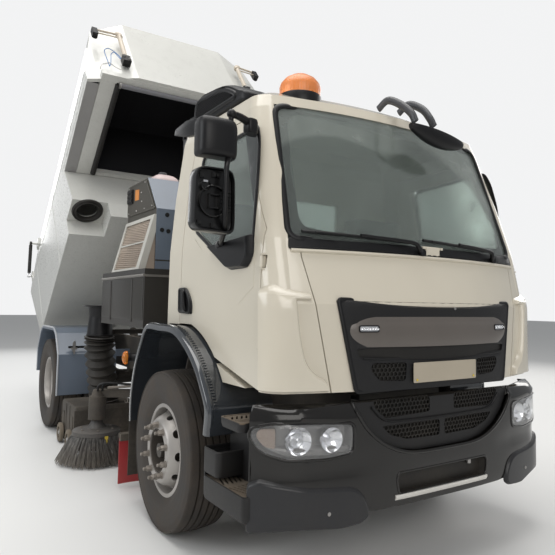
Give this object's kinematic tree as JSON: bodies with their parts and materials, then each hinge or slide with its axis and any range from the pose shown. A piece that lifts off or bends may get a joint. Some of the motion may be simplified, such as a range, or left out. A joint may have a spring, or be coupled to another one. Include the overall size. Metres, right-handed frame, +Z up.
{
  "type": "street sweeper truck",
  "caption": "Two-axle cab-over truck with a tipped suction hopper, engine module, side brushes and suction nozzles",
  "frame": {"origin": "on the ground under the middle of the whole truck as it stands, hopper tipped", "axes": "+X to the truck's own left, +Y to its rear, +Z up; the cab faces -Y"},
  "size_m": [2.9198, 7.5934, 4.9101],
  "materials": {
    "cab_cream": "cream white gloss paint",
    "dark_paint": "dark anthracite gloss paint",
    "black_plastic": "black moulded plastic, matte",
    "chassis_paint": "dark grey chassis paint with road dust",
    "engine_grey": "plain block standing for the driveline",
    "tank_metal": "dark pressed metal, dusty",
    "cab_trim": "dark grey cab trim",
    "window_glass": "clear glass, slightly green",
    "lamp_glass": "clear lamp cover",
    "flap_black": "black rubber sheet",
    "flap_red": "red rubber sheet, dusty",
    "amber_lens": "amber lens",
    "red_lens": "red lens",
    "module_dark": "dark sheet metal box",
    "radiator_beige": "dusty beige radiator fins",
    "bellows_rubber": "black convoluted rubber",
    "slate_blue": "slate blue paint",
    "tyre": "black tyre, brown with dust",
    "rim_silver": "silver rim paint",
    "cast_metal": "cast steering parts",
    "hopper_white": "white gloss paint",
    "cowl_foam": "black foam lining in a white rim",
    "ram_chrome": "polished rod",
    "bristle": "grey black bristles"
  },
  "bodies": {
    "chassis": {"chassis_frame": "chassis_paint", "front_axle": "chassis_paint", "rear_axle": "chassis_paint", "power_unit": "engine_grey", "tanks": "tank_metal", "cab_shell": "cab_cream", "cab_interior": "cab_trim", "cab_glass": "window_glass", "front_bumper": "dark_paint", "headlamps": "lamp_glass", "front_wings": "dark_paint", "step_boxes": "black_plastic", "mud_flaps": "flap_black", "red_flaps": "flap_red", "snorkel": "black_plastic", "front_mirror": "black_plastic", "beacon": "amber_lens", "engine_module": "module_dark", "module_radiator": "radiator_beige", "suction_cones": "black_plastic", "suction_bellows": "bellows_rubber", "suction_nozzles": "chassis_paint", "rear_mudguards": "slate_blue", "rear_lamps": "red_lens", "spare_tyre": "tyre", "spare_rim": "rim_silver", "sweep_brackets": "chassis_paint"},
    "steer_knuckle_right": {"knuckle_right": "cast_metal"},
    "steer_knuckle_left": {"knuckle_left": "cast_metal"},
    "track_rod": {"tie_rod": "cast_metal"},
    "wheel_front_right": {"tyre_front_right": "tyre", "rim_front_right": "rim_silver"},
    "wheel_front_left": {"tyre_front_left": "tyre", "rim_front_left": "rim_silver"},
    "wheels_rear_right": {"tyres_rear_right": "tyre", "rims_rear_right": "rim_silver"},
    "wheels_rear_left": {"tyres_rear_left": "tyre", "rims_rear_left": "rim_silver"},
    "cab_door_right": {"door_right": "cab_cream", "door_glass_right": "window_glass", "mirrors_right": "black_plastic"},
    "cab_door_left": {"door_left": "cab_cream", "door_glass_left": "window_glass", "mirrors_left": "black_plastic"},
    "hatch": {"front_hatch": "cab_cream", "hatch_grille": "black_plastic"},
    "hopper": {"hopper_body": "hopper_white", "hopper_cowl": "cowl_foam", "hopper_fittings": "black_plastic"},
    "tail_door": {"hopper_door": "hopper_white"},
    "tip_barrels": {"tip_ram_barrels": "chassis_paint"},
    "tip_rods": {"tip_ram_rods": "ram_chrome"},
    "door_barrels": {"door_ram_barrels": "chassis_paint"},
    "door_rods": {"door_ram_rods": "ram_chrome"},
    "sweep_arm_right": {"brush_arm_right": "chassis_paint"},
    "sweep_arm_left": {"brush_arm_left": "chassis_paint"},
    "sweep_brush_right": {"brush_right": "bristle"},
    "sweep_brush_left": {"brush_left": "bristle"}
  },
  "joints": [
    {"name": "wheel_front_right_spin", "type": "hinge", "parent": "steer_knuckle_right", "child": "wheel_front_right", "pos_m": [-1.033, -2.38269, 0.522], "axis": [1, 0, 0], "continuous": true},
    {"name": "wheel_front_left_spin", "type": "hinge", "parent": "steer_knuckle_left", "child": "wheel_front_left", "pos_m": [1.033, -2.38269, 0.522], "axis": [1, 0, 0], "continuous": true},
    {"name": "wheels_rear_right_spin", "type": "hinge", "parent": "chassis", "child": "wheels_rear_right", "pos_m": [-0.915, 1.36731, 0.522], "axis": [1, 0, 0], "continuous": true},
    {"name": "wheels_rear_left_spin", "type": "hinge", "parent": "chassis", "child": "wheels_rear_left", "pos_m": [0.915, 1.36731, 0.522], "axis": [1, 0, 0], "continuous": true},
    {"name": "steer_right", "type": "hinge", "parent": "chassis", "child": "steer_knuckle_right", "pos_m": [-0.85, -2.38269, 0.522], "axis": [0, 0, 1], "range_deg": [-36, 36]},
    {"name": "steer_left", "type": "hinge", "parent": "chassis", "child": "steer_knuckle_left", "pos_m": [0.85, -2.38269, 0.522], "axis": [0, 0, 1], "range_deg": [-36, 36]},
    {"name": "track_rod_turn", "type": "hinge", "parent": "steer_knuckle_right", "child": "track_rod", "pos_m": [-0.85, -2.19269, 0.36], "axis": [0, 0, 1], "range_deg": [-36, 36]},
    {"name": "cab_door_right_open", "type": "hinge", "parent": "chassis", "child": "cab_door_right", "pos_m": [-1.068, -3.48269, 1.8], "axis": [0, 0, 1], "range_deg": [0, 70]},
    {"name": "cab_door_left_open", "type": "hinge", "parent": "chassis", "child": "cab_door_left", "pos_m": [1.068, -3.48269, 1.8], "axis": [0, 0, -1], "range_deg": [0, 70]},
    {"name": "hatch_open", "type": "hinge", "parent": "chassis", "child": "hatch", "pos_m": [0, -3.68269, 1.845], "axis": [-1, 0, 0], "range_deg": [0, 75]},
    {"name": "hopper_tip", "type": "hinge", "parent": "chassis", "child": "hopper", "pos_m": [0, 1.86731, 1], "axis": [-1, 0, 0], "range_deg": [-39.8, 12.2]},
    {"name": "tip_ram_turn", "type": "hinge", "parent": "chassis", "child": "tip_barrels", "pos_m": [0, 0.91731, 0.7], "axis": [1, 0, 0], "range_deg": [-0.5, 1.6]},
    {"name": "tip_ram_slide", "type": "slide", "parent": "tip_barrels", "child": "tip_rods", "axis": [0, 0.742, 0.6704], "range_m": [-0.2987, 0.0917]},
    {"name": "tail_door_open", "type": "hinge", "parent": "hopper", "child": "tail_door", "pos_m": [0, 3.6469, 2.31575], "axis": [1, 0, 0], "range_deg": [0, 85]},
    {"name": "door_ram_turn", "type": "hinge", "parent": "hopper", "child": "door_barrels", "pos_m": [0, 3.35497, 2.36374], "axis": [1, 0, 0], "range_deg": [-0.1, 63]},
    {"name": "door_ram_slide", "type": "slide", "parent": "door_barrels", "child": "door_rods", "axis": [0, 0.0622, -0.9981], "range_m": [-0.001, 0.3338]},
    {"name": "sweep_arm_right_swing", "type": "hinge", "parent": "chassis", "child": "sweep_arm_right", "pos_m": [-0.56, -0.73269, 0.63], "axis": [0, 0, 1], "range_deg": [0, 22]},
    {"name": "sweep_arm_left_swing", "type": "hinge", "parent": "chassis", "child": "sweep_arm_left", "pos_m": [0.56, -0.73269, 0.63], "axis": [0, 0, -1], "range_deg": [0, 22]},
    {"name": "sweep_brush_right_spin", "type": "hinge", "parent": "sweep_arm_right", "child": "sweep_brush_right", "pos_m": [-1.09, -0.45269, 0.34], "axis": [0, 0, 1], "continuous": true},
    {"name": "sweep_brush_left_spin", "type": "hinge", "parent": "sweep_arm_left", "child": "sweep_brush_left", "pos_m": [1.09, -0.45269, 0.34], "axis": [0, 0, -1], "continuous": true}
  ],
  "couplings": [
    {"joint": "steer_left", "follows": "steer_right", "ratio": 1},
    {"joint": "track_rod_turn", "follows": "steer_right", "ratio": -1},
    {"joint": "tip_ram_turn", "follows": "hopper_tip", "ratio": -0.0378},
    {"joint": "tip_ram_slide", "follows": "hopper_tip", "m_per_rad": 0.4297},
    {"joint": "door_ram_turn", "follows": "tail_door_open", "ratio": 0.74},
    {"joint": "door_ram_slide", "follows": "tail_door_open", "m_per_rad": 0.2248}
  ]
}
